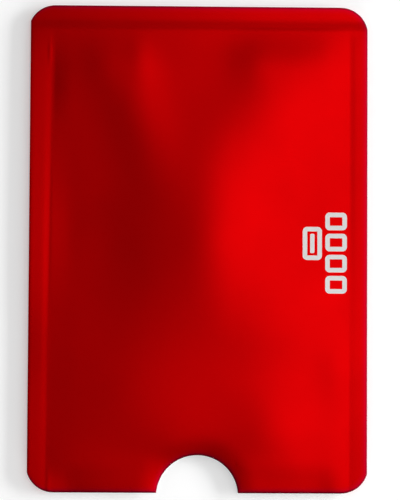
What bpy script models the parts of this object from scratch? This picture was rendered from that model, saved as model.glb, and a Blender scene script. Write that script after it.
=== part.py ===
"""An empty foil card holder: a flat sleeve for one bank card, lying on its back.

Two laminated walls, each a colour film, a sheet of aluminium foil and a sealing film, are
welded together along three sides and die-cut in one stroke. The fourth side is the mouth,
with a round thumb notch through both walls.

Metres, +Z up. The sleeve lies with its front up, its shut end towards +Y and its mouth
towards -Y. The origin is under the middle of the sleeve, on the surface that it lies on.
"""

import math

import bmesh
import bpy

MM = 0.001

# The card that the pocket is made for, and the room that it has in there
CARD_WIDTH = 53.98 * MM
CARD_LENGTH = 85.60 * MM
CARD_THICKNESS = 0.76 * MM
CARD_SIDE_PLAY = 0.86 * MM
CARD_END_PLAY = 0.60 * MM
CARD_LIFT_PLAY = 0.14 * MM
MOUTH_OVERHANG = 0.90 * MM

# Welded margins, from the cut edge to the fold where the pocket starts
LEFT_MARGIN = 4.20 * MM
LEFT_MARGIN_LEAN = 0.75 * MM
RIGHT_MARGIN = 3.30 * MM
SHUT_MARGIN = 3.90 * MM
MARGIN_CURL = 0.10 * MM
MARGIN_CURL_WIDTH = 0.90 * MM
SHUT_DROOP = 0.12 * MM

# Rounded corners, whose punched arcs run a little past the slit sides
CORNER_RADIUS = 5.10 * MM
SHUT_LEFT_TRIM = 0.48 * MM
SHUT_RIGHT_TRIM = 0.06 * MM
MOUTH_LEFT_TRIM = 0.19 * MM
MOUTH_RIGHT_TRIM = 0.23 * MM
CORNER_STEPS = 10

# Thumb notch in the middle of the mouth
NOTCH_RADIUS = 7.60 * MM
NOTCH_CENTRE_DROP = 0.60 * MM
NOTCH_STEPS = 24

# Plies of one wall, from the outside in, and the weld between the two walls
COLOUR_FILM = 0.030 * MM
FOIL_SHIELD = 0.025 * MM
SEAL_FILM = 0.075 * MM
HEAT_SEAL = 0.030 * MM
PLY_GAP = 0.005 * MM
SEAL_BREAK = 0.30 * MM

# Soft relief of the front wall: swells where the film has buckled, and drooping lips
SWELL_RISE = 0.56 * MM
SWELL_FADE = 5.00 * MM
SHUT_SWELL_FADE = 8.00 * MM
MOUTH_LIP = 0.60 * MM
MOUTH_DROOP = 0.16 * MM
MOUTH_DROOP_REACH = 6.00 * MM
NOTCH_DIP = 0.16 * MM
NOTCH_DIP_REACH = 3.40 * MM
SHOULDER_BREAK_SHARE = 0.40
SHOULDER_RISE_SHARE = 0.60
RELIEF_COLUMNS = 13
RELIEF_ROWS = 16

# Each swell: place across and along the sleeve, half length, half width, turn in degrees, rise.
# The first two are the crown and its crest, the last three are dents.
SWELL_SHARES = (
    (-0.016, 0.033, 0.297, 0.165, 90.0, 1.00),
    (0.063, 0.033, 0.154, 0.077, 90.0, 0.47),
    (0.222, 0.302, 0.154, 0.099, 52.0, 0.71),
    (0.364, 0.385, 0.099, 0.077, 0.0, 0.21),
    (0.174, 0.401, 0.066, 0.049, 90.0, 0.25),
    (-0.198, 0.330, 0.165, 0.055, 108.0, 0.30),
    (-0.174, 0.407, 0.066, 0.024, 100.0, 0.07),
    (-0.285, 0.341, 0.110, 0.066, 110.0, 0.09),
    (0.222, -0.132, 0.110, 0.099, 90.0, 0.39),
    (0.285, -0.143, 0.088, 0.077, 90.0, 0.18),
    (0.174, -0.198, 0.132, 0.088, 132.0, 0.14),
    (0.222, -0.374, 0.088, 0.088, 90.0, 0.54),
    (-0.206, -0.297, 0.110, 0.088, 90.0, 0.12),
    (0.000, -0.505, 0.132, 0.176, 90.0, 0.43),
    (-0.285, 0.022, 0.154, 0.077, 90.0, -0.14),
    (-0.411, 0.044, 0.132, 0.044, 90.0, -0.11),
    (-0.040, -0.423, 0.088, 0.038, 15.0, -0.34),
)

CUT_TOLERANCE = 0.0001 * MM

SLEEVE_WIDTH = LEFT_MARGIN + CARD_WIDTH + 2 * CARD_SIDE_PLAY + RIGHT_MARGIN
SLEEVE_LENGTH = SHUT_MARGIN + CARD_END_PLAY + CARD_LENGTH + MOUTH_OVERHANG
HALF_WIDTH = SLEEVE_WIDTH / 2
HALF_LENGTH = SLEEVE_LENGTH / 2
WALL = COLOUR_FILM + FOIL_SHIELD + SEAL_FILM + 2 * PLY_GAP
SEAM = HEAT_SEAL + 2 * PLY_GAP
POCKET_LIFT = CARD_THICKNESS + CARD_LIFT_PLAY - SEAM

LEFT_FOLD = LEFT_MARGIN - HALF_WIDTH
RIGHT_FOLD = HALF_WIDTH - RIGHT_MARGIN
SHUT_FOLD = HALF_LENGTH - SHUT_MARGIN
LEAN_SLOPE = LEFT_MARGIN_LEAN / SLEEVE_LENGTH


def clear_scene():
    for obj in list(bpy.data.objects):
        bpy.data.objects.remove(obj, do_unlink=True)


def left_inset(x, y):
    """How far a point lies inside the left fold, which leans out towards the mouth."""
    return x - LEFT_FOLD + LEAN_SLOPE * (HALF_LENGTH - y)


def right_inset(x):
    return RIGHT_FOLD - x


def shut_inset(y):
    return SHUT_FOLD - y


def corner_arc(side, end, trim, clockwise_start):
    """Points of one corner: an arc level with the end, its last bit trimmed off by the side."""
    centre_x = side * (HALF_WIDTH + trim - CORNER_RADIUS)
    centre_y = end * (HALF_LENGTH - CORNER_RADIUS)
    start = math.acos(1 - trim / CORNER_RADIUS)
    points = []
    for step in range(CORNER_STEPS + 1):
        angle = start + (math.pi / 2 - start) * step / CORNER_STEPS
        x = centre_x + side * CORNER_RADIUS * math.cos(angle)
        y = centre_y + end * CORNER_RADIUS * math.sin(angle)
        points.append((x, y))
    return points if clockwise_start else points[::-1]


def notch_arc():
    """Points of the thumb notch, from its right-hand lip over the top to its left-hand lip."""
    half_chord = math.sqrt(NOTCH_RADIUS**2 - NOTCH_CENTRE_DROP**2)
    start = math.atan2(NOTCH_CENTRE_DROP, half_chord)
    points = []
    for step in range(NOTCH_STEPS + 1):
        angle = start + (math.pi - 2 * start) * step / NOTCH_STEPS
        x = NOTCH_RADIUS * math.cos(angle)
        y = NOTCH_RADIUS * math.sin(angle) - NOTCH_CENTRE_DROP - HALF_LENGTH
        points.append((x, y))
    return points


def blank_outline():
    """The die-cut outline, anticlockwise from the right-hand side."""
    outline = corner_arc(1, 1, SHUT_RIGHT_TRIM, True)
    outline += corner_arc(-1, 1, SHUT_LEFT_TRIM, False)
    outline += corner_arc(-1, -1, MOUTH_LEFT_TRIM, True)
    outline += notch_arc()[::-1]
    outline += corner_arc(1, -1, MOUTH_RIGHT_TRIM, False)
    return outline


def blank_mesh():
    """The flat blank as one face, filled from a 2D curve."""
    curve = bpy.data.curves.new("blank_outline", "CURVE")
    curve.dimensions = "2D"
    curve.fill_mode = "BOTH"
    outline = blank_outline()
    spline = curve.splines.new("POLY")
    spline.points.add(len(outline) - 1)
    for point, (x, y) in zip(spline.points, outline):
        point.co = (x, y, 0, 1)
    spline.use_cyclic_u = True
    guide = bpy.data.objects.new("blank_outline", curve)
    bpy.context.scene.collection.objects.link(guide)
    graph = bpy.context.evaluated_depsgraph_get()
    mesh = bpy.data.meshes.new_from_object(guide.evaluated_get(graph))
    bpy.data.objects.remove(guide, do_unlink=True)
    blank = bmesh.new()
    blank.from_mesh(mesh)
    bmesh.ops.remove_doubles(blank, verts=blank.verts, dist=CUT_TOLERANCE)
    inner_edges = [edge for edge in blank.edges if len(edge.link_faces) == 2]
    bmesh.ops.dissolve_edges(blank, edges=inner_edges)
    blank.to_mesh(mesh)
    blank.free()
    return mesh


def split(sheet, point, normal, clear=False):
    """Scores the sheet along a line. With clear, the side that the normal points to is dropped."""
    bmesh.ops.bisect_plane(
        sheet,
        geom=sheet.verts[:] + sheet.edges[:] + sheet.faces[:],
        dist=CUT_TOLERANCE,
        plane_co=(point[0], point[1], 0),
        plane_no=(normal[0], normal[1], 0),
        clear_outer=clear,
    )


def split_left(sheet, inset, clear=False):
    """A line at this inset from the left fold, leaning as the fold does."""
    x = LEFT_FOLD - LEAN_SLOPE * HALF_LENGTH + inset
    split(sheet, (x, 0), (1, -LEAN_SLOPE), clear)


def split_right(sheet, inset, clear=False):
    split(sheet, (RIGHT_FOLD - inset, 0), (-1, 0), clear)


def split_shut(sheet, inset, clear=False):
    split(sheet, (0, SHUT_FOLD - inset), (0, -1), clear)


def score_folds(sheet):
    """The lines that every wall bends along: margin curl, fold, and the shoulder of the pocket."""
    for share in (0, SHOULDER_BREAK_SHARE, 1):
        split_left(sheet, share * CARD_SIDE_PLAY)
        split_right(sheet, share * CARD_SIDE_PLAY)
        split_shut(sheet, share * CARD_END_PLAY)
    split_left(sheet, -MARGIN_CURL_WIDTH)
    split_right(sheet, -MARGIN_CURL_WIDTH)
    split_shut(sheet, -MARGIN_CURL_WIDTH)
    split(sheet, (0, MOUTH_LIP - HALF_LENGTH), (0, 1))


def score_relief(sheet):
    """Evenly spaced lines over the pocket, which the soft relief of the front needs."""
    left = LEFT_FOLD + CARD_SIDE_PLAY
    column = (RIGHT_FOLD - CARD_SIDE_PLAY - left) / RELIEF_COLUMNS
    for index in range(1, RELIEF_COLUMNS):
        split(sheet, (left + index * column, 0), (1, 0))
    mouth = MOUTH_LIP - HALF_LENGTH
    row = (SHUT_FOLD - CARD_END_PLAY - mouth) / RELIEF_ROWS
    for index in range(1, RELIEF_ROWS):
        split(sheet, (0, mouth + index * row), (0, 1))


def shoulder(inset, width):
    """0 on the fold and 1 from the pocket's flat on, with one break between."""
    share = min(1.0, max(0.0, inset / width))
    if share <= SHOULDER_BREAK_SHARE:
        return share * SHOULDER_RISE_SHARE / SHOULDER_BREAK_SHARE
    rest = (share - SHOULDER_BREAK_SHARE) / (1 - SHOULDER_BREAK_SHARE)
    return SHOULDER_RISE_SHARE + rest * (1 - SHOULDER_RISE_SHARE)


def pocket(x, y):
    """1 over the pocket, 0 on the margins."""
    left = shoulder(left_inset(x, y), CARD_SIDE_PLAY)
    right = shoulder(right_inset(x), CARD_SIDE_PLAY)
    return left * right * shoulder(shut_inset(y), CARD_END_PLAY)


def margin_curl(x, y):
    """The side margins curl up a little, and the margin of the shut end droops."""
    outward = (-left_inset(x, y), -right_inset(x), -shut_inset(y))
    left, right, shut = [min(1.0, max(0.0, distance / MARGIN_CURL_WIDTH)) for distance in outward]
    return MARGIN_CURL * (left + right) - SHUT_DROOP * shut


def eased(share):
    share = min(1.0, max(0.0, share))
    return share * share * (3 - 2 * share)


def springing(share):
    """Leaves 0 at an angle, as film does from a weld, and levels out at 1."""
    return math.sin(math.pi / 2 * min(1.0, max(0.0, share)))


def side_fade(x, y):
    """0 where the pocket's flat starts on either side, and 1 a swell's fade further in."""
    left = left_inset(x, y) - CARD_SIDE_PLAY
    right = right_inset(x) - CARD_SIDE_PLAY
    return springing(left / SWELL_FADE) * springing(right / SWELL_FADE)


def swells(x, y):
    """Height of the crown, swells and dents of the front wall."""
    rise = 0.0
    for share_x, share_y, long_share, wide_share, turn, rise_share in SWELL_SHARES:
        away_x = x - share_x * SLEEVE_WIDTH
        away_y = y - share_y * SLEEVE_LENGTH
        angle = math.radians(turn)
        along = away_x * math.cos(angle) + away_y * math.sin(angle)
        beside = away_y * math.cos(angle) - away_x * math.sin(angle)
        along /= long_share * SLEEVE_LENGTH
        beside /= wide_share * SLEEVE_LENGTH
        rise += SWELL_RISE * rise_share * math.exp(-along * along - beside * beside)
    return side_fade(x, y) * springing(shut_inset(y) / SHUT_SWELL_FADE) * rise


def lip_drop(x, y):
    """The front wall droops towards the mouth and the thumb notch, by less than the card's play."""
    above_mouth = y + HALF_LENGTH
    droop = MOUTH_DROOP * eased(1 - above_mouth / MOUTH_DROOP_REACH) * side_fade(x, y)
    from_notch = math.hypot(x, above_mouth + NOTCH_CENTRE_DROP) - NOTCH_RADIUS
    return droop + NOTCH_DIP * eased(1 - from_notch / NOTCH_DIP_REACH) * pocket(x, y)


def seam_relief(x, y):
    """Height of the weld between the walls, over the flat of the back wall."""
    return POCKET_LIFT + margin_curl(x, y)


def back_relief(x, y):
    return seam_relief(x, y) - POCKET_LIFT * pocket(x, y)


def front_relief(x, y):
    """The front wall runs on level from the welds, and only swells and droops from there."""
    return seam_relief(x, y) + swells(x, y) - lip_drop(x, y)


def ply_mesh(name, sheet, relief, thickness):
    """Bends a flat scored sheet to the relief and gives it its thickness."""
    bmesh.ops.triangulate(sheet, faces=sheet.faces)
    for vertex in sheet.verts:
        vertex.co.z = relief(vertex.co.x, vertex.co.y)
    raised = bmesh.ops.extrude_face_region(sheet, geom=sheet.faces[:])["geom"]
    raised_vertices = [item for item in raised if isinstance(item, bmesh.types.BMVert)]
    bmesh.ops.translate(sheet, verts=raised_vertices, vec=(0, 0, thickness))
    bmesh.ops.recalc_face_normals(sheet, faces=sheet.faces)
    mesh = bpy.data.meshes.new(name)
    sheet.to_mesh(mesh)
    sheet.free()
    mesh.shade_smooth()
    mesh.set_sharp_from_angle(angle=math.radians(30))
    return mesh


def finish(name, colour, roughness, metallic):
    material = bpy.data.materials.new(name)
    material.use_nodes = True
    shader = material.node_tree.nodes["Principled BSDF"]
    shader.inputs["Base Color"].default_value = (*colour, 1)
    shader.inputs["Roughness"].default_value = roughness
    shader.inputs["Metallic"].default_value = metallic
    material.diffuse_color = (*colour, 1)
    return material


def add_ply(name, mesh, height, material):
    """Places a ply in the stack, by the height of its underside over the flat."""
    ply = bpy.data.objects.new(name, mesh)
    ply.location.z = height
    ply.parent = bpy.data.objects["sleeve_stack"]
    mesh.materials.append(material)
    bpy.data.collections["card_holder"].objects.link(ply)


def new_sheet(blank):
    sheet = bmesh.new()
    sheet.from_mesh(blank)
    return sheet


def wall_sheet(blank, soft):
    sheet = new_sheet(blank)
    score_folds(sheet)
    if soft:
        score_relief(sheet)
    return sheet


def side_seal_sheet(blank, left):
    """The margin of one side, from the mouth up to the weld of the shut end."""
    sheet = new_sheet(blank)
    if left:
        split_left(sheet, 0, clear=True)
        split_left(sheet, -MARGIN_CURL_WIDTH)
    else:
        split_right(sheet, 0, clear=True)
        split_right(sheet, -MARGIN_CURL_WIDTH)
    split(sheet, (0, SHUT_FOLD - SEAL_BREAK), (0, 1), clear=True)
    return sheet


def shut_seal_sheet(blank):
    """The margin of the shut end, from side to side."""
    sheet = new_sheet(blank)
    split_shut(sheet, 0, clear=True)
    split_shut(sheet, -MARGIN_CURL_WIDTH)
    for inset in (0, -MARGIN_CURL_WIDTH):
        split_left(sheet, inset)
        split_right(sheet, inset)
    return sheet


def build_wall(blank, side, relief, soft, base, outside_first):
    """The three plies of one wall, stacked upwards from the base height."""
    red = finish(side + "_red_metallic", (0.62, 0.004, 0.008), 0.34, 1.0)
    silver = finish(side + "_bare_foil", (0.82, 0.83, 0.85), 0.28, 1.0)
    clear = finish(side + "_inner_lining", (0.74, 0.74, 0.75), 0.45, 0.0)
    plies = [
        ("_colour_film", COLOUR_FILM, red),
        ("_foil_shield", FOIL_SHIELD, silver),
        ("_seal_film", SEAL_FILM, clear),
    ]
    if not outside_first:
        plies.reverse()
    height = base
    for suffix, thickness, material in plies:
        name = side + suffix
        mesh = ply_mesh(name, wall_sheet(blank, soft), relief, thickness)
        add_ply(name, mesh, height, material)
        height += thickness + PLY_GAP


def build_seals(blank):
    sheets = {
        "left_heat_seal": side_seal_sheet(blank, True),
        "right_heat_seal": side_seal_sheet(blank, False),
        "shut_end_heat_seal": shut_seal_sheet(blank),
    }
    for name, sheet in sheets.items():
        weld = finish(name + "_weld", (0.66, 0.66, 0.67), 0.5, 0.0)
        mesh = ply_mesh(name, sheet, seam_relief, HEAT_SEAL)
        add_ply(name, mesh, WALL + PLY_GAP, weld)


def build_card_holder():
    clear_scene()
    holder = bpy.data.collections.new("card_holder")
    bpy.context.scene.collection.children.link(holder)
    holder.objects.link(bpy.data.objects.new("sleeve_stack", None))
    blank = blank_mesh()
    build_wall(blank, "back", back_relief, False, 0, True)
    build_seals(blank)
    build_wall(blank, "front", front_relief, True, WALL + SEAM, False)
    bpy.data.meshes.remove(blank)


build_card_holder()
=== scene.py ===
# %% [markdown]
# # A foil card holder on a white table
#
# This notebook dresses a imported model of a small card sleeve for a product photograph.
# The sleeve is two laminated walls, welded along both sides and the shut end, with a round
# thumb notch in its mouth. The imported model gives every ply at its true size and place, and
# the cells below remodel the same nine pieces finely enough for a close-up: the soft crown
# of the film, its pressed welds, its eased cut edges and the satin red finish. A small silver
# print is added on top.
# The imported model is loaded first, because all sizes are read from it.

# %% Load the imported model
import math

import bpy
import numpy as np
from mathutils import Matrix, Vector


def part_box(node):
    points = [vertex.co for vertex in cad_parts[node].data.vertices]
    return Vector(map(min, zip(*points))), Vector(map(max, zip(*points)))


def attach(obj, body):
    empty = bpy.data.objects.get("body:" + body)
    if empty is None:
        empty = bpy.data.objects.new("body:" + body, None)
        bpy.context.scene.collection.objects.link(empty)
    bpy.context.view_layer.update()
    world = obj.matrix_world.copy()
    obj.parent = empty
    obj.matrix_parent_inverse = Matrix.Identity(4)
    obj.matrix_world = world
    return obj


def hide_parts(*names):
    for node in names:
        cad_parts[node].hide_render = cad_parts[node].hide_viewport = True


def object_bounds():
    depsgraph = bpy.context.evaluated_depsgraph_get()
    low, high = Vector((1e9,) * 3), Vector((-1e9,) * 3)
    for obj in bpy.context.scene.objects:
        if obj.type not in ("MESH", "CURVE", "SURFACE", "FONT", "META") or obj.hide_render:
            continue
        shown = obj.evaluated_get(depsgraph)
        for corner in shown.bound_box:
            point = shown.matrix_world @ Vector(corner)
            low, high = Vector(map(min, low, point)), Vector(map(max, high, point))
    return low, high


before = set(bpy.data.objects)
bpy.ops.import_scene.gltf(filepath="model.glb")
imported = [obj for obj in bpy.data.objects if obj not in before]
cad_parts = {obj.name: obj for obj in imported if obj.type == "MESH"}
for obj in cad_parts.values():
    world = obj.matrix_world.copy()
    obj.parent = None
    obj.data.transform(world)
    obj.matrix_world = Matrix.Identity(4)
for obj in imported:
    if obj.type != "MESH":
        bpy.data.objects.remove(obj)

MM = 0.001
cad_low, cad_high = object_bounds()
print("packed model, mm:", [round(side / MM, 2) for side in cad_high - cad_low])

# %% [markdown]
# ## Sizes that the pieces share
#
# The outline and the folds come from the imported nodes, so that the fine pieces lie exactly where
# the plain ones do. Only what a box can't tell is named here: how the left weld leans, how wide
# the shoulders beside the folds are, how the corners were punched, and how thick each ply is.

# %% Sizes from the imported model
HALF_WIDTH = cad_high.x
HALF_LENGTH = cad_high.y
LEFT_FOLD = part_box("left_heat_seal")[1].x
RIGHT_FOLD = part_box("right_heat_seal")[0].x
SHUT_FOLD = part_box("shut_end_heat_seal")[0].y
LEFT_LEAN = 0.75 * MM
SIDE_SHOULDER = 0.86 * MM
SHUT_SHOULDER = 1.20 * MM

CORNER_RADIUS = 5.10 * MM
NOTCH_RADIUS = 7.60 * MM
NOTCH_CENTRE_DROP = 0.60 * MM

COLOUR_FILM = 0.030 * MM
FOIL_SHIELD = 0.025 * MM
SEAL_FILM = 0.075 * MM
HEAT_SEAL = 0.030 * MM
PLY_GAP = 0.005 * MM
WALL = COLOUR_FILM + FOIL_SHIELD + SEAL_FILM + 2 * PLY_GAP
SEAM = HEAT_SEAL + 2 * PLY_GAP
POCKET_LIFT = 0.90 * MM - SEAM
folds = (LEFT_FOLD, RIGHT_FOLD, SHUT_FOLD)
print("left, right and shut folds, mm:", [round(fold / MM, 2) for fold in folds])

# %% [markdown]
# ## The camera
#
# The photograph looks almost straight down from about 42 cm, a touch from the mouth's side
# and from the left, so the sleeve's mouth end is a hair wider than its shut end. A long lens
# at that distance gives the same faint convergence. The camera's place and its three small
# turns follow from the four corners of the outline in the picture.

# %% Camera
CAMERA_PLACE = (-9.22 * MM, -22.17 * MM, 419.6 * MM)
CAMERA_TURNS_DEGREES = (2.983, -1.321, 0.309)
NEAREST_SEEN = 10 * MM
# Blender's camera reads the next two in millimetres
LENS_LENGTH = 161.63
SENSOR_LONG_SIDE = 36.0

turns = [math.radians(turn) for turn in CAMERA_TURNS_DEGREES]
bpy.ops.object.camera_add(location=CAMERA_PLACE, rotation=turns)
camera = bpy.context.object
camera.data.lens = LENS_LENGTH
camera.data.sensor_width = SENSOR_LONG_SIDE
camera.data.clip_start = NEAREST_SEEN
bpy.context.scene.camera = camera
bpy.context.scene.view_settings.view_transform = "Standard"
print("camera height, mm:", round(camera.location.z / MM, 1))

# %% [markdown]
# ## Node helpers
#
# Every finish below is a small tree of nodes. These helpers keep the trees short: one adds a
# node and fills its sockets, one joins two sockets, one stretches a range of values to
# another, and one starts a material.


# %% Node helpers
def fill(node, sockets):
    for socket, value in sockets.items():
        node.inputs[socket].default_value = value


def add_node(tree, kind, place, sockets=None, **properties):
    """Adds a node, sets its properties, then fills the sockets, given by name or number."""
    node = tree.nodes.new(kind)
    node.location = place
    for name, value in properties.items():
        setattr(node, name, value)
    fill(node, sockets or {})
    return node


def join(tree, source, target):
    tree.links.new(source, target)


def map_range(tree, source, start, result, place, interpolation="LINEAR"):
    """Stretches the values from one pair of limits to another."""
    limits = {"From Min": start[0], "From Max": start[1], "To Min": result[0], "To Max": result[1]}
    node = add_node(tree, "ShaderNodeMapRange", place, limits, interpolation_type=interpolation)
    join(tree, source, node.inputs["Value"])
    return node.outputs[0]


def new_material(name, sockets):
    material = bpy.data.materials.new(name)
    material.use_nodes = True
    shader = material.node_tree.nodes["Principled BSDF"]
    fill(shader, sockets)
    return material, material.node_tree, shader


# %% [markdown]
# ## The table
#
# The sleeve lies on a seamless white table. A white surface under plain light renders pale
# grey, so the floor's material adds a little of its own white, but only where the camera or a
# mirror looks at it: no extra light reaches the object, and the soft shadow stays. The back
# of the floor is clear, so that the underside of the sleeve can be looked at too.

# %% Floor
FLOOR_SIZE = 6000 * MM
FLOOR_DROP = 0.02 * MM
FLOOR_WHITE = (0.78, 0.78, 0.78, 1)
FLOOR_ROUGHNESS = 0.9
FLOOR_OWN_WHITE = 0.285

bpy.ops.mesh.primitive_plane_add(size=FLOOR_SIZE, location=(0, 0, -FLOOR_DROP))
floor = bpy.context.object
floor.name = "floor"
matt_white = {
    "Base Color": FLOOR_WHITE,
    "Roughness": FLOOR_ROUGHNESS,
    "Specular IOR Level": 0.0,
}
paper, tree, shader = new_material("white_table", matt_white)
light_path = add_node(tree, "ShaderNodeLightPath", (-700, 200))
seen = add_node(tree, "ShaderNodeMath", (-500, 200), operation="MAXIMUM")
join(tree, light_path.outputs["Is Camera Ray"], seen.inputs[0])
join(tree, light_path.outputs["Is Glossy Ray"], seen.inputs[1])
own_share = {1: FLOOR_OWN_WHITE}
own_white = add_node(tree, "ShaderNodeMath", (-300, 200), own_share, operation="MULTIPLY")
join(tree, seen.outputs[0], own_white.inputs[0])
glow = add_node(tree, "ShaderNodeEmission", (-100, 200))
join(tree, own_white.outputs[0], glow.inputs["Strength"])
lit = add_node(tree, "ShaderNodeAddShader", (350, 100))
join(tree, shader.outputs[0], lit.inputs[0])
join(tree, glow.outputs[0], lit.inputs[1])
side = add_node(tree, "ShaderNodeNewGeometry", (100, 400))
clear = add_node(tree, "ShaderNodeBsdfTransparent", (350, -100))
two_sided = add_node(tree, "ShaderNodeMixShader", (550, 100))
join(tree, side.outputs["Backfacing"], two_sided.inputs[0])
join(tree, lit.outputs[0], two_sided.inputs[1])
join(tree, clear.outputs[0], two_sided.inputs[2])
join(tree, two_sided.outputs[0], tree.nodes["Material Output"].inputs["Surface"])
floor.data.materials.append(paper)
print("floor across, m:", FLOOR_SIZE)

# %% [markdown]
# ## The light
#
# Satin metal shows the room more than it shows its own colour. Here one large panel hangs
# over the right-hand side, so that film which leans to the right turns bright and film which
# leans to the left turns dark: that is what draws the swells. A low strip at the far right
# throws the soft shadow to the left, and a weaker one in front of the mouth keeps the table
# pale there. Both strips are meant for the table. Seen in the film from the side they would
# be glaring bands, so they are hidden from reflections.

# %% Lamps
SLEEVE_MIDDLE = (0, 0, 0)


def add_panel(name, place, target, width, height, radiance):
    """A rectangular lamp that faces its target; radiance 1 looks white in a mirror."""
    bpy.ops.object.light_add(type="AREA", location=place)
    lamp = bpy.context.object
    lamp.name = name
    lamp.data.shape = "RECTANGLE"
    lamp.data.size = width
    lamp.data.size_y = height
    lamp.data.energy = radiance * math.pi * width * height
    aim = [target[axis] - place[axis] for axis in range(3)]
    level = math.hypot(aim[0], aim[1])
    turn = math.atan2(aim[1], aim[0]) - math.pi / 2 if level > 0 else 0
    lamp.rotation_euler = (math.atan2(level, -aim[2]), 0, turn)
    print(name, "radiance", radiance)
    return lamp


add_panel(
    "overhead_panel",
    place=(0.27, 0.07, 1.20),
    target=(0.27, 0.07, 0),
    width=0.50,
    height=0.62,
    radiance=1.48,
)
low_strip = add_panel(
    "low_strip",
    place=(0.58, 0.05, 0.15),
    target=SLEEVE_MIDDLE,
    width=0.40,
    height=0.12,
    radiance=34.0,
)
front_strip = add_panel(
    "front_strip",
    place=(0.05, -0.60, 0.10),
    target=SLEEVE_MIDDLE,
    width=0.50,
    height=0.10,
    radiance=14.0,
)
for strip in (low_strip, front_strip):
    strip.visible_glossy = False

# %% [markdown]
# ## The room
#
# The room is a gradient on the world. Round the horizon it is evenly pale, so that the film
# looks red from every side. Higher up it is pale on the right and dim on the left, and dimmer
# still on the side that the mouth points to, which darkens the film that falls away towards
# the mouth. Overhead it is dark. Only the camera sees plain white behind the table.

# %% Room
OVERHEAD_GREY = 0.0
LEFT_WALL = 0.28
RIGHT_WALL = 0.90
FRONT_WALL_SHARE = 0.25
HORIZON_WHITE = 0.72
# where one part of the room passes into the next, as parts of a direction of length 1
LEFT_TO_RIGHT = (-0.5, 0.5)
FRONT_TO_MIDDLE = (-0.4, -0.1)
HORIZON_TO_WALLS = (0.42, 0.70)
WALLS_TO_OVERHEAD = (0.75, 0.97)

world = bpy.data.worlds.new("studio_room")
world.use_nodes = True
bpy.context.scene.world = world
tree = world.node_tree
background = tree.nodes["Background"]
fill(background, {"Color": (1, 1, 1, 1)})
direction = add_node(tree, "ShaderNodeTexCoord", (-1300, 0))
heading = add_node(tree, "ShaderNodeSeparateXYZ", (-1100, 0))
join(tree, direction.outputs["Generated"], heading.inputs[0])


def room_step(axis, step, result, place):
    """Goes softly from one brightness to the other as the direction passes through the step."""
    return map_range(tree, heading.outputs[axis], step, result, place, "SMOOTHSTEP")


across = room_step("X", LEFT_TO_RIGHT, (LEFT_WALL, RIGHT_WALL), (-900, 200))
along = room_step("Y", FRONT_TO_MIDDLE, (FRONT_WALL_SHARE, 1.0), (-900, -100))
walls = add_node(tree, "ShaderNodeMath", (-700, 100), operation="MULTIPLY")
join(tree, across, walls.inputs[0])
join(tree, along, walls.inputs[1])
low_down = room_step("Z", HORIZON_TO_WALLS, (1.0, 0.0), (-700, 300))
horizon = add_node(tree, "ShaderNodeMix", (-600, 200), {"B": HORIZON_WHITE})
join(tree, low_down, horizon.inputs["Factor"])
join(tree, walls.outputs[0], horizon.inputs["A"])
overhead = room_step("Z", WALLS_TO_OVERHEAD, (0.0, 1.0), (-700, -200))
room = add_node(tree, "ShaderNodeMix", (-500, 0), {"B": OVERHEAD_GREY})
join(tree, overhead, room.inputs["Factor"])
join(tree, horizon.outputs["Result"], room.inputs["A"])
light_path = add_node(tree, "ShaderNodeLightPath", (-500, 400))
brightest = add_node(tree, "ShaderNodeMath", (-250, 100), operation="MAXIMUM")
join(tree, light_path.outputs["Is Camera Ray"], brightest.inputs[0])
join(tree, room.outputs["Result"], brightest.inputs[1])
join(tree, brightest.outputs[0], background.inputs["Strength"])
print("room low down", HORIZON_WHITE, "and higher", LEFT_WALL, "to", RIGHT_WALL)

# %% [markdown]
# ## Editing helpers
#
# A modelling operator works on whatever is selected, so each step first selects exactly what
# it needs. These helpers open edit mode on one object, with all of it selected, and go back.
# One more cuts the open sheet along an upright plane, and one copies an object with its mesh.

# %% Editing helpers
CUT_THRESHOLD = 1e-7


def only(piece):
    bpy.ops.object.select_all(action="DESELECT")
    piece.select_set(True)
    bpy.context.view_layer.objects.active = piece


def edit_all(piece, select="VERT"):
    only(piece)
    bpy.ops.object.mode_set(mode="EDIT")
    bpy.ops.mesh.select_mode(type=select)
    bpy.ops.mesh.select_all(action="SELECT")


def done_editing():
    bpy.ops.object.mode_set(mode="OBJECT")


def score(point, normal, drop_outside=False):
    """Cuts everything along an upright plane, and may drop the side that the normal points to."""
    bpy.ops.mesh.select_all(action="SELECT")
    bpy.ops.mesh.bisect(
        plane_co=(point[0], point[1], 0),
        plane_no=(normal[0], normal[1], 0),
        clear_outer=drop_outside,
        threshold=CUT_THRESHOLD,
    )


def copy_of(piece, name):
    only(piece)
    bpy.ops.object.duplicate()
    twin = bpy.context.object
    twin.name = name
    twin.data.name = name
    return twin


# %% [markdown]
# ## The die-cut blank
#
# On the real line the welded sheets are slit to width, and a punch rounds each corner. The
# punch never lines up quite with the slit, so each arc runs a little past the side and meets
# it at a faint kink. The blank is made the same way: a plane whose corners lie a little too
# far out, a vertex bevel for the punch, and a straight cut along each side for the slit.

# %% Blank
# how far each corner arc runs past the slit; a corner is given by its signs across and along
CORNER_TRIMS = {
    (-1, 1): 0.48 * MM,
    (1, 1): 0.06 * MM,
    (-1, -1): 0.19 * MM,
    (1, -1): 0.23 * MM,
}
CORNER_SEGMENTS = 14
ROUND_PROFILE = 0.5
PLATE = 2 * MM

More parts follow.
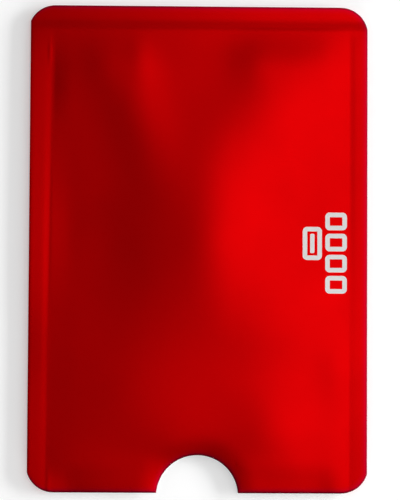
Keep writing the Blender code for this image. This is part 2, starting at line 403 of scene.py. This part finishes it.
bpy.ops.object.select_all(action="DESELECT")
bpy.ops.mesh.primitive_plane_add(size=2)
blank = bpy.context.object
blank.name = "blank"
for vertex in blank.data.vertices:
    trim = CORNER_TRIMS[round(vertex.co.x), round(vertex.co.y)]
    vertex.co.x *= HALF_WIDTH + trim
    vertex.co.y *= HALF_LENGTH
edit_all(blank)
bpy.ops.mesh.bevel(
    offset=CORNER_RADIUS,
    segments=CORNER_SEGMENTS,
    affect="VERTICES",
    profile=ROUND_PROFILE,
)
score((HALF_WIDTH, 0), (1, 0), drop_outside=True)
score((-HALF_WIDTH, 0), (-1, 0), drop_outside=True)
bpy.ops.mesh.select_all(action="SELECT")
bpy.ops.mesh.extrude_region_move(TRANSFORM_OT_translate={"value": (0, 0, -PLATE)})
bpy.ops.mesh.select_all(action="SELECT")
bpy.ops.mesh.normals_make_consistent(inside=False)
done_editing()
print("plate:", len(blank.data.polygons), "faces")

# %% [markdown]
# The thumb notch is a Boolean with a round punch. A Boolean needs a plate with some thickness,
# which is why the blank was extruded. Afterwards only its top face is kept.

# %% Thumb notch
PUNCH_SIDES = 128
UPWARD = 0.5

bpy.ops.object.select_all(action="DESELECT")
bpy.ops.mesh.primitive_cylinder_add(
    vertices=PUNCH_SIDES,
    radius=NOTCH_RADIUS,
    depth=3 * PLATE,
    location=(0, -HALF_LENGTH - NOTCH_CENTRE_DROP, 0),
)
punch = bpy.context.object
only(blank)
notch_cut = blank.modifiers.new("thumb_notch", "BOOLEAN")
notch_cut.object = punch
notch_cut.operation = "DIFFERENCE"
bpy.ops.object.modifier_apply(modifier=notch_cut.name)
bpy.data.objects.remove(punch, do_unlink=True)

edit_all(blank, "FACE")
bpy.ops.mesh.select_all(action="DESELECT")
done_editing()
for face in blank.data.polygons:
    face.select = face.normal.z < UPWARD
dropped = sum(face.select for face in blank.data.polygons)
bpy.ops.object.mode_set(mode="EDIT")
bpy.ops.mesh.delete(type="FACE")
done_editing()
print("blank:", len(blank.data.vertices), "points,", dropped, "faces dropped")

# %% [markdown]
# ## Rings along the cut edge and lines over the sheet
#
# The relief is made by lifting points, so the blank first needs points where it bends. Three
# narrow insets run along the whole cut edge, round corners and notch too, for the eased rim.
# Then straight cuts cross the sheet: close together over the folds, a little wider over the
# welded margins, and widest over the pocket, where the film only swells gently. One scored
# blank serves all nine pieces, and so their faces lie in register, one ply over the other,
# with no ply cutting through the next.

# %% Score the blank
RIM_RINGS = (0.12 * MM, 0.14 * MM, 0.20 * MM)
FOLD_SPACING = 0.16 * MM
FOLD_REACH = 1.12 * MM
MARGIN_SPACING = 0.45 * MM
MARGIN_LINES = 4
OPEN_SPACING = 1.0 * MM
LEFT_SLOPE = LEFT_LEAN / (2 * HALF_LENGTH)
LEFT_FOLD_MIDDLE = LEFT_FOLD - LEFT_SLOPE * HALF_LENGTH


def score_beside_folds(left_offset, offset):
    """Cuts along all three folds: the left one is moved by its own offset."""
    score((LEFT_FOLD_MIDDLE + left_offset, 0), (1, -LEFT_SLOPE))
    score((RIGHT_FOLD + offset, 0), (1, 0))
    score((0, SHUT_FOLD + offset), (0, 1))


edit_all(blank, "FACE")
for ring in RIM_RINGS:
    bpy.ops.mesh.inset(thickness=ring, depth=0, use_boundary=True)
fold_steps = round(FOLD_REACH / FOLD_SPACING)
for step in range(-fold_steps, fold_steps + 1):
    offset = step * FOLD_SPACING
    score_beside_folds(offset, offset)
for step in range(1, MARGIN_LINES + 1):
    outward = FOLD_REACH + step * MARGIN_SPACING
    score_beside_folds(-outward, outward)
open_width = RIGHT_FOLD - LEFT_FOLD_MIDDLE - 2 * FOLD_REACH
columns = round(open_width / OPEN_SPACING)
first_column = LEFT_FOLD_MIDDLE + FOLD_REACH + LEFT_LEAN
for step in range(1, columns):
    share = step / columns
    score((first_column + share * (RIGHT_FOLD - FOLD_REACH - first_column), 0), (1, 0))
open_length = SHUT_FOLD - FOLD_REACH + HALF_LENGTH
rows = round(open_length / OPEN_SPACING)
for step in range(1, rows):
    score((0, -HALF_LENGTH + step * open_length / rows), (0, 1))
done_editing()
print("scored blank:", len(blank.data.polygons), "faces")

# %% [markdown]
# ## The relief
#
# Film that has been welded, die-cut and handled is never flat. Its height over the table is
# a sum of simple parts, each a function of the place on the sheet:
#
# - the **shoulder**, where a wall leaves the weld and opens the pocket,
# - the **curl** of the welded side margins, which levels out at the shut end,
# - the **droop** of the weld across the shut end, and two faint creases near its left corner,
# - the **swells** of the front, where the empty pocket has bellied out and buckled,
# - the **lips**, eased down along the mouth, the notch and every cut edge.
#
# Functions on whole arrays are fast and are easy to read one at a time, which is why the
# points are moved by formula and not by hand.

# %% Relief: folds and margins
CURL_WIDTH = 1.40 * MM
CURL_RISE = 0.022 * MM
RIGHT_CURL_LOSS = 0.60
RIGHT_CURL_START = 4.0 * MM
RIGHT_CURL_REACH = 20.0 * MM
LEFT_CURL_LEAST = 0.30
LEFT_TILT = 0.019
RIGHT_TILT = 0.020
# place along the sleeve and half length, both in mm, and what is added there
LEFT_CURL_CHANGES = ((-3, 24, 0.70),)
LEFT_TILT_CHANGES = ((4, 16, 0.007), (44, 8, -0.020), (-18, 7, -0.012))
RIGHT_TILT_CHANGES = ((-14, 15, -0.018), (36, 8, -0.012))
MARGIN_LEVELLING = 3.50 * MM
SHUT_DROOP = 0.135 * MM
SHUT_DROOP_REACH = 1.30 * MM
SHUT_DROOP_OUTSET = 0.45 * MM


def eased(share):
    """Goes from 0 to 1 with a soft start and a soft end."""
    share = np.clip(share, 0, 1)
    return share * share * (3 - 2 * share)


def bell(place, centre, half_length):
    return np.exp(-(((place / MM - centre) / half_length) ** 2))


def uneven(y, level, changes):
    """A level along the sleeve, with a bell-shaped rise or fall added at each change."""
    return sum((change * bell(y, centre, reach) for centre, reach, change in changes), start=level)


def left_inset(x, y):
    """How far each point lies in from the left fold, which leans."""
    return x - LEFT_FOLD + LEFT_SLOPE * (HALF_LENGTH - y)


def shoulder(inset, width):
    return eased(inset / width)


def pocket(x, y):
    """1 over the pocket and 0 on the margins."""
    sides = shoulder(left_inset(x, y), SIDE_SHOULDER) * shoulder(RIGHT_FOLD - x, SIDE_SHOULDER)
    return sides * shoulder(SHUT_FOLD - y, SHUT_SHOULDER)


def margin_curl(x, y):
    """Both side margins tilt up a little, unevenly, and level out at the shut end."""
    left_out = -left_inset(x, y)
    right_out = x - RIGHT_FOLD
    left_share = uneven(y, LEFT_CURL_LEAST, LEFT_CURL_CHANGES)
    right_share = 1 - RIGHT_CURL_LOSS * eased((RIGHT_CURL_START - y) / RIGHT_CURL_REACH)
    left_curl = CURL_RISE * left_share * shoulder(left_out, CURL_WIDTH)
    right_curl = CURL_RISE * right_share * shoulder(right_out, CURL_WIDTH)
    left_tilted = uneven(y, LEFT_TILT, LEFT_TILT_CHANGES) * np.maximum(0, left_out)
    right_tilted = uneven(y, RIGHT_TILT, RIGHT_TILT_CHANGES) * np.maximum(0, right_out)
    levelling = eased((SHUT_FOLD + SHUT_DROOP_OUTSET - y) / MARGIN_LEVELLING)
    return levelling * (left_curl + right_curl + left_tilted + right_tilted)


def shut_droop(y):
    """The weld of the shut end lies a little lower than the pocket beside it."""
    past_fold = y - SHUT_FOLD - SHUT_DROOP_OUTSET
    return SHUT_DROOP * eased(0.5 + past_fold / (2 * SHUT_DROOP_REACH))


# %% [markdown]
# The eased rims and the painted shade along the cut need to know how far a point lies from the cut
# edge. The outline is simple enough for a formula: the nearest of the four straight sides, the
# notch and the four corner arcs. In the photograph no dark rim shows along the left side, and so
# the painted rim shade reads a distance of its own, which is large there.

# %% Relief: distance to the cut edge
FAR_AWAY = 1.0
LEAST_TURN = 0.02


def from_notch(x, y):
    return np.hypot(x, y + HALF_LENGTH + NOTCH_CENTRE_DROP) - NOTCH_RADIUS


def from_corner(x, y, side, end, trim):
    """Distance in from a punched corner arc, and far away outside its quarter."""
    from_centre_x = side * x - (HALF_WIDTH + trim - CORNER_RADIUS)
    from_centre_y = end * y - (HALF_LENGTH - CORNER_RADIUS)
    inside = CORNER_RADIUS - np.hypot(from_centre_x, from_centre_y)
    return np.where((from_centre_x > 0) & (from_centre_y > 0), inside, FAR_AWAY)


def edge_distance(x, y):
    """How far each point lies in from the die-cut outline."""
    distances = [HALF_WIDTH - np.abs(x), HALF_LENGTH - np.abs(y), from_notch(x, y)]
    for (side, end), trim in CORNER_TRIMS.items():
        distances.append(from_corner(x, y, side, end, trim))
    return np.maximum(0, np.min(distances, axis=0))


def rim_shade_distance(x, y):
    """The distance that the painted rim shade reads: far along the left side, which shows no such
    rim.
    """
    turned = np.clip(1 - (HALF_LENGTH - np.abs(y)) / CORNER_RADIUS, LEAST_TURN, 1)
    beside_left = x + HALF_WIDTH < CORNER_RADIUS
    return edge_distance(x, y) / np.where(beside_left, turned, 1)


# %% [markdown]
# The swells are what the eye reads first: a crown over the middle with a rather sharp crest, lower
# bumps beside it towards both ends, and a long shallow dent above the notch. Each one is a
# bell-shaped mound with a place, a length, a width, a turn and a rise, chosen against the bright
# and dark patches of the photograph. A rise below zero makes a dent. Near the folds the swells
# fade out, so that the film springs straight from its weld. The creases near the left corner of
# the shut end are a dent and a mound as well, only far narrower.

# %% Relief: swells of the front
LEFT_SWELL_INSET = 0.50 * MM
RIGHT_SWELL_INSET = 0.10 * MM
SWELL_FADE = 5.0 * MM
SHUT_SWELL_FADE = 8.0 * MM
# place across and along, half length, half width, all in mm; turn in degrees; rise in mm
FRONT_SWELLS = (
    (-1.0, 3.0, 27.0, 15.0, 90.0, 0.56),
    (4.0, 3.0, 14.0, 7.0, 90.0, 0.26),
    (14.0, 27.5, 14.0, 9.0, 52.0, 0.40),
    (23.0, 35.0, 9.0, 7.0, 0.0, 0.12),
    (11.0, 36.5, 6.0, 4.5, 90.0, 0.14),
    (-12.5, 30.0, 15.0, 5.0, 108.0, 0.17),
    (-11.2, 37.5, 5.5, 2.2, 98.0, 0.065),
    (-17.8, 34.0, 6.0, 2.6, 100.0, 0.03),
    (-21.0, 34.0, 6.0, 4.0, 90.0, 0.045),
    (-26.4, 32.0, 7.5, 2.6, 90.0, 0.08),
    (-18.0, 31.0, 10.0, 6.0, 110.0, 0.05),
    (14.0, -12.0, 10.0, 9.0, 90.0, 0.22),
    (18.0, -13.0, 8.0, 7.0, 90.0, 0.10),
    (11.0, -18.0, 12.0, 8.0, 132.0, 0.08),
    (14.0, -34.0, 8.0, 8.0, 90.0, 0.30),
    (-13.0, -27.0, 10.0, 8.0, 90.0, 0.07),
    (22.0, -27.5, 6.0, 14.0, 0.0, 0.01),
    (27.2, -25.0, 8.0, 3.0, 90.0, 0.13),
    (27.0, -46.0, 7.0, 3.0, 90.0, 0.22),
    (17.0, -46.0, 6.0, 8.0, 90.0, 0.08),
    (10.0, -36.0, 7.0, 5.0, 90.0, -0.06),
    (12.5, -31.0, 8.0, 8.0, 90.0, 0.07),
    (0.0, -46.0, 12.0, 16.0, 90.0, 0.42),
    (-13.0, -38.0, 8.0, 8.0, 90.0, -0.06),
    (-18.0, 2.0, 14.0, 7.0, 90.0, -0.08),
    (-26.0, 4.0, 12.0, 4.0, 90.0, -0.06),
    (-4.5, -40.8, 11.0, 4.5, 4.0, -0.30),
    (2.0, -38.5, 5.0, 3.5, 0.0, -0.06),
    (-6.5, -39.8, 2.5, 2.5, 0.0, -0.03),
)
WELD_CREASES = (
    (-28.50, 36.9, 1.7, 0.30, 90.0, -0.005),
    (-27.95, 36.8, 1.8, 0.35, 90.0, 0.012),
)


def mound(x, y, across, along, half_length, half_width, turn, rise):
    away_x = x - across * MM
    away_y = y - along * MM
    angle = math.radians(turn)
    lengthways = (away_x * math.cos(angle) + away_y * math.sin(angle)) / (half_length * MM)
    sideways = (away_y * math.cos(angle) - away_x * math.sin(angle)) / (half_width * MM)
    return rise * MM * np.exp(-(lengthways**2) - sideways**2)


def mounds(x, y, table):
    return sum(mound(x, y, *row) for row in table)


def springing(share):
    """Leaves 0 at an angle, as film does from a weld, and levels out at 1."""
    return np.sin(math.pi / 2 * np.clip(share, 0, 1))


def side_fade(x, y):
    left = left_inset(x, y) - LEFT_SWELL_INSET
    right = RIGHT_FOLD - RIGHT_SWELL_INSET - x
    return springing(left / SWELL_FADE) * springing(right / SWELL_FADE)


def swells(x, y):
    shut_fade = springing((SHUT_FOLD - y) / SHUT_SWELL_FADE)
    return side_fade(x, y) * shut_fade * mounds(x, y, FRONT_SWELLS)


print("swells:", len(FRONT_SWELLS), "and creases:", len(WELD_CREASES))

# %% [markdown]
# A blade crushes thin film down where it cuts, so every rim eases off over the last half
# millimetre, and the open lip over about one. The front wall also droops towards the mouth and
# the notch, where no weld holds it up. With that, all parts of the relief are there, and the
# last three functions add them up for the weld, the front wall and the back wall.

# %% Relief: lips and rims
RIM_WIDTH = 0.46 * MM
RIM_ROLL = 0.02 * MM
LIP_WIDTH = 1.10 * MM
LIP_ROLL = 0.045 * MM
MOUTH_DROOP = 0.16 * MM
MOUTH_DROOP_REACH = 6.0 * MM
NOTCH_DIP = 0.08 * MM
NOTCH_DIP_REACH = 3.4 * MM


def rim_roll(x, y):
    """The last bit along every cut eases down, and more so along the open lip."""
    rolled = RIM_ROLL * np.clip(1 - edge_distance(x, y) / RIM_WIDTH, 0, 1) ** 2
    from_lip = np.minimum(y + HALF_LENGTH, from_notch(x, y))
    return rolled + LIP_ROLL * np.clip(1 - from_lip / LIP_WIDTH, 0, 1) ** 2


def lip_drop(x, y):
    """The front wall droops a little towards the mouth and towards the notch."""
    droop = MOUTH_DROOP * eased(1 - (y + HALF_LENGTH) / MOUTH_DROOP_REACH) * side_fade(x, y)
    return droop + NOTCH_DIP * eased(1 - from_notch(x, y) / NOTCH_DIP_REACH) * pocket(x, y)


def seam_height(x, y):
    rolled = rim_roll(x, y) * (1 - pocket(x, y))
    creased = mounds(x, y, WELD_CREASES)
    return POCKET_LIFT + margin_curl(x, y) - shut_droop(y) - rolled + creased


def front_height(x, y):
    lips = rim_roll(x, y) * pocket(x, y) + lip_drop(x, y)
    return seam_height(x, y) + swells(x, y) - lips


def back_height(x, y):
    return seam_height(x, y) * (1 - pocket(x, y))


# %% [markdown]
# ## Finishes
#
# The red film is a satin metallic: a lacquered foil whose colour is all in its reflection, so
# its base is a deep saturated red with full metallic value. A roughness that wanders a little
# blurs that reflection more in some places than in others, and a very fine grain in the bump
# softens it. Along the cut the film is painted a darker red with a hint of purple, a painted shade
# that fades out within about a millimetre. Only the left side shows none of it. A colour ramp
# reads this painted shade from the distance to the cut, which each ply carries as an attribute.

# %% Red film finish
RED = (0.80, 0.0006, 0.0016, 1)
# distance to the cut in mm, and the colour there: painted shade that darkens the red towards the
# cut
RIM_PAINTED_SHADE = (
    (0.00, (0.42, 0.002, 0.030, 1)),
    (0.22, (0.56, 0.002, 0.026, 1)),
    (0.40, (0.77, 0.0012, 0.016, 1)),
    (0.75, (0.80, 0.0008, 0.0065, 1)),
    (1.30, RED),
)
CLOUD_SCALE = 140.0
CLOUD_DETAIL = 3.0
CLOUD_VALUES = (0.3, 0.7)
FILM_ROUGHNESS = (0.305, 0.325)
GRAIN_SCALE = 2200.0
GRAIN_DETAIL = 4.0
GRAIN_STRENGTH = 0.06
GRAIN_DEPTH = 0.02 * MM


def object_noise(tree, scale, detail, place):
    coordinates = add_node(tree, "ShaderNodeTexCoord", (place[0] - 200, place[1]))
    noise = add_node(tree, "ShaderNodeTexNoise", place, {"Scale": scale, "Detail": detail})
    join(tree, coordinates.outputs["Object"], noise.inputs["Vector"])
    return noise.outputs["Fac"]


def cloudy_roughness(tree, shader, scale, detail, roughness):
    """The blur of the reflection wanders between two values, in soft clouds."""
    cloud = object_noise(tree, scale, detail, (-900, 0))
    satin = map_range(tree, cloud, CLOUD_VALUES, roughness, (-600, 0))
    join(tree, satin, shader.inputs["Roughness"])


def paint_rim_shade(tree, shader):
    """Paints shade on the film by its distance to the cut: a darker red near the cut."""
    edge = add_node(tree, "ShaderNodeAttribute", (-900, 300), attribute_name="rim_shade_mm")
    widest = RIM_PAINTED_SHADE[-1][0]
    inward = map_range(tree, edge.outputs["Fac"], (0.0, widest), (0.0, 1.0), (-700, 300))
    tint = add_node(tree, "ShaderNodeValToRGB", (-450, 300))
    stops = tint.color_ramp.elements
    while len(stops) < len(RIM_PAINTED_SHADE):
        stops.new(1.0)
    for stop, (distance, colour) in zip(stops, RIM_PAINTED_SHADE):
        stop.position = distance / widest
        stop.color = colour
    join(tree, inward, tint.inputs["Fac"])
    join(tree, tint.outputs["Color"], shader.inputs["Base Color"])


def fine_grain(tree, shader):
    grain = object_noise(tree, GRAIN_SCALE, GRAIN_DETAIL, (-900, -300))
    depth = {"Strength": GRAIN_STRENGTH, "Distance": GRAIN_DEPTH}
    bump = add_node(tree, "ShaderNodeBump", (-400, -300), depth)
    join(tree, grain, bump.inputs["Height"])
    join(tree, bump.outputs[0], shader.inputs["Normal"])


red_film, tree, shader = new_material("red_metallic_film", {"Metallic": 1.0})
paint_rim_shade(tree, shader)
cloudy_roughness(tree, shader, CLOUD_SCALE, CLOUD_DETAIL, FILM_ROUGHNESS)
fine_grain(tree, shader)
print("red film, roughness:", FILM_ROUGHNESS)

# %% [markdown]
# The inner plies and the welds show only at the cut and inside the mouth, and the silver ink
# is a small print. Each of them has one colour, and a roughness that wanders in soft clouds.
# The bare foil is metallic, the lining and the weld are not, and the ink lies between the two.

# %% Plain finishes
PLAIN_DETAIL = 4.0


def plain_finish(name, colour, metallic, roughness, cloud_scale):
    sockets = {"Base Color": (*colour, 1), "Metallic": metallic}
    material, tree, shader = new_material(name, sockets)
    cloudy_roughness(tree, shader, cloud_scale, PLAIN_DETAIL, roughness)
    print(name, "roughness:", roughness)
    return material


bare_foil = plain_finish(
    "bare_foil",
    colour=(0.80, 0.81, 0.83),
    metallic=1.0,
    roughness=(0.24, 0.34),
    cloud_scale=300.0,
)
inner_lining = plain_finish(
    "inner_lining",
    colour=(0.70, 0.70, 0.71),
    metallic=0.0,
    roughness=(0.40, 0.55),
    cloud_scale=500.0,
)
fused_weld = plain_finish(
    "fused_weld",
    colour=(0.60, 0.60, 0.62),
    metallic=0.0,
    roughness=(0.45, 0.60),
    cloud_scale=500.0,
)
silver_ink = plain_finish(
    "silver_ink",
    colour=(0.80, 0.78, 0.77),
    metallic=0.35,
    roughness=(0.38, 0.46),
    cloud_scale=900.0,
)

# %% [markdown]
# ## Plies
#
# A ply is a copy of the scored blank, lifted point by point to the relief of its wall, then
# extruded straight up by its own thickness. Extruding upwards, and not along the normals,
# keeps each ply in register with the one below it.

# %% Make a ply
SMOOTH_UP_TO = math.radians(40)


def lift(piece, height_at, base):
    """Moves every point of a flat sheet to its height, and notes the distance that the painted rim
    shade reads.
    """
    points = np.empty(len(piece.data.vertices) * 3, np.float32)
    piece.data.vertices.foreach_get("co", points)
    points = points.reshape(-1, 3).astype(float)
    x, y = points[:, 0], points[:, 1]
    points[:, 2] = base + height_at(x, y)
    piece.data.vertices.foreach_set("co", points.astype(np.float32).ravel())
    edge = piece.data.attributes.new("rim_shade_mm", "FLOAT", "POINT")
    edge.data.foreach_set("value", (rim_shade_distance(x, y) / MM).astype(np.float32))
    piece.data.update()


def thicken(piece, thickness):
    edit_all(piece, "FACE")
    bpy.ops.mesh.extrude_region_move(TRANSFORM_OT_translate={"value": (0, 0, thickness)})
    bpy.ops.mesh.select_all(action="SELECT")
    bpy.ops.mesh.normals_make_consistent(inside=False)
    done_editing()
    bpy.ops.object.shade_smooth_by_angle(angle=SMOOTH_UP_TO)


def make_ply(node, sheet, height_at, base, thickness, finish):
    """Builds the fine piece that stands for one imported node."""
    ply = copy_of(sheet, node + "_fine")
    lift(ply, height_at, base)
    thicken(ply, thickness)
    ply.data.materials.clear()
    ply.data.materials.append(finish)
    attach(ply, "root")
    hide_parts(node)
    print(ply.name, len(ply.data.polygons), "faces")


# %% [markdown]
# Both walls are laminated from the same three plies, with the colour film outside and the
# sealing film inside. So the back wall is stacked upwards from its colour film, and the front
# wall from its sealing film. The pressed weld lies between the two.

# %% Both walls
PLIES = {
    "colour_film": (COLOUR_FILM, "red_metallic_film", red_film),
    "foil_shield": (FOIL_SHIELD, "bare_foil", bare_foil),
    "seal_film": (SEAL_FILM, "inner_lining", inner_lining),
}
UPWARDS_FROM_COLOUR = ("colour_film", "foil_shield", "seal_film")
UPWARDS_FROM_SEAL = ("seal_film", "foil_shield", "colour_film")


def make_wall(wall, height_at, base, order):
    for ply_name in order:
        thickness, slot_name, finish = PLIES[ply_name]
        make_ply(wall + "_" + ply_name, blank, height_at, base, thickness, finish)
        base += thickness + PLY_GAP


make_wall("back", back_height, 0.0, UPWARDS_FROM_COLOUR)
make_wall("front", front_height, WALL + SEAM, UPWARDS_FROM_SEAL)

# %% [markdown]
# ## The silver print
#
# On the right of the front stands a small silver print, a few thousandths of a millimetre
# thick. It is kept plain here: a row of four rounded frames, and beside them a card with its
# stripe. Each frame is a plane with its corners bevelled and its middle taken out by an inset.
# It is then scored like the blank, so that it can follow the relief of the film below it.

# %% Flat marks
PRINT_STROKE = 0.85 * MM
PRINT_SPACING = 0.50 * MM
PRINT_CORNER_SEGMENTS = 6


def flat_mark(place, size, corner, hollow):
    """A rounded rectangle on the table, or only its frame."""
    bpy.ops.object.select_all(action="DESELECT")
    bpy.ops.mesh.primitive_plane_add(size=2, location=(0, 0, 0))
    mark = bpy.context.object
    for vertex in mark.data.vertices:
        vertex.co.x = place[0] + vertex.co.x * size[0] / 2
        vertex.co.y = place[1] + vertex.co.y * size[1] / 2
    edit_all(mark)
    bpy.ops.mesh.bevel(
        offset=corner,
        segments=PRINT_CORNER_SEGMENTS,
        affect="VERTICES",
        profile=ROUND_PROFILE,
    )
    if hollow:
        bpy.ops.mesh.select_mode(type="FACE")
        bpy.ops.mesh.select_all(action="SELECT")
        bpy.ops.mesh.inset(thickness=PRINT_STROKE, depth=0, use_boundary=True)
        bpy.ops.mesh.delete(type="FACE")
    for step in range(1, round(size[0] / PRINT_SPACING)):
        score((place[0] - size[0] / 2 + step * PRINT_SPACING, 0), (1, 0))
    for step in range(1, round(size[1] / PRINT_SPACING)):
        score((0, place[1] - size[1] / 2 + step * PRINT_SPACING), (0, 1))
    done_editing()
    return mark


# %% Silver print
PRINT_CORNER = 0.80 * MM
PRINT_LIFT = 0.008 * MM
PRINT_INK = 0.006 * MM
FRAME_SIZE = (4.05 * MM, 3.30 * MM)
FRAME_COUNT = 4
FIRST_FRAME_PLACE = (25.75 * MM, -6.65 * MM)
FRAME_STEP = 3.95 * MM
CARD_SIZE = (3.60 * MM, 6.20 * MM)
CARD_PLACE = (21.30 * MM, 1.05 * MM)
STRIPE_SIZE = (0.80 * MM, 3.60 * MM)
STRIPE_CORNER = 0.20 * MM

marks = []
for row in range(FRAME_COUNT):
    frame_place = (FIRST_FRAME_PLACE[0], FIRST_FRAME_PLACE[1] + FRAME_STEP * row)
    marks.append(flat_mark(frame_place, FRAME_SIZE, PRINT_CORNER, hollow=True))
marks.append(flat_mark(CARD_PLACE, CARD_SIZE, PRINT_CORNER, hollow=True))
marks.append(flat_mark(CARD_PLACE, STRIPE_SIZE, STRIPE_CORNER, hollow=False))
bpy.ops.object.select_all(action="DESELECT")
for mark in marks:
    mark.select_set(True)
bpy.context.view_layer.objects.active = marks[0]
bpy.ops.object.join()
silver_print = bpy.context.object
silver_print.name = "silver_print"
lift(silver_print, front_height, 2 * WALL + SEAM + PRINT_LIFT)
thicken(silver_print, PRINT_INK)
silver_print.data.materials.append(silver_ink)
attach(silver_print, "root")
print("silver print:", len(silver_print.data.polygons), "faces")

# %% [markdown]
# ## Welds
#
# Where the hot bars have pressed, the two sealing films have run into one milky band. It
# fills the margin from the cut edge in to the fold: one band across the whole shut end, and
# one down each side below it. Each is the scored blank with the rest cut away.

# %% Welds
SEAL_BREAK = 0.30 * MM
BELOW_SHUT_WELD = ((0, SHUT_FOLD - SEAL_BREAK), (0, 1))
# each cut is a point and a normal, and drops what the normal points to
WELDS = {
    "left_heat_seal": (((LEFT_FOLD_MIDDLE, 0), (1, -LEFT_SLOPE)), BELOW_SHUT_WELD),
    "right_heat_seal": (((RIGHT_FOLD, 0), (-1, 0)), BELOW_SHUT_WELD),
    "shut_end_heat_seal": (((0, SHUT_FOLD), (0, -1)),),
}


def weld_sheet(name, cuts):
    sheet = copy_of(blank, name + "_sheet")
    edit_all(sheet, "FACE")
    for point, normal in cuts:
        score(point, normal, drop_outside=True)
    done_editing()
    return sheet


for node, cuts in WELDS.items():
    sheet = weld_sheet(node, cuts)
    make_ply(node, sheet, seam_height, WALL + PLY_GAP, HEAT_SEAL, fused_weld)
    bpy.data.objects.remove(sheet, do_unlink=True)

# %% [markdown]
# ## The last step
#
# The blank was only a helper and goes.

# %% Finish
bpy.data.objects.remove(blank, do_unlink=True)
bpy.context.view_layer.update()
